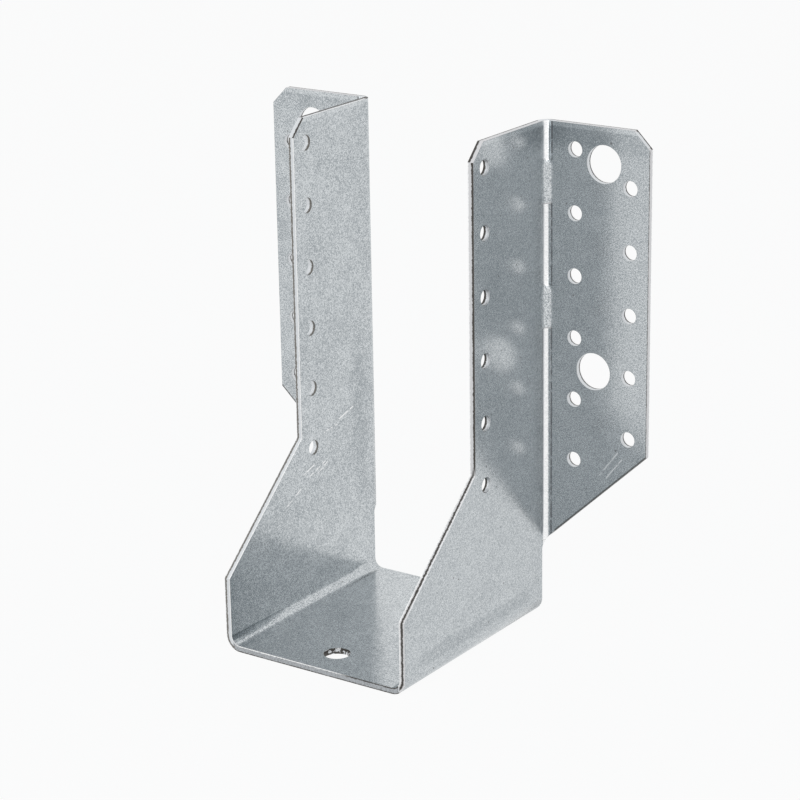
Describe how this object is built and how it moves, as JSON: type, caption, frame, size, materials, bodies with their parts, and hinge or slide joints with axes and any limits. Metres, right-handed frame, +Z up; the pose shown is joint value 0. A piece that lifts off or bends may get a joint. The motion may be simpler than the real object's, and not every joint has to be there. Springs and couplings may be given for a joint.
{
  "type": "joist hanger",
  "caption": "Folded sheet-steel joist hanger: a flat seat between two upright walls, with nailing flanges turned outward at the back and punched for nails and bolts.",
  "frame": {"origin": "underside of the seat, at the middle of the width and of the depth", "axes": "+Z up along the walls, +Y along the joist towards the header that the flanges lie on, +X across the joist"},
  "size_m": [0.141, 0.082, 0.162],
  "materials": {
    "galvanised_steel": "satin"
  },
  "bodies": {
    "root": {"joist_hanger": "galvanised_steel"}
  },
  "joints": []
}
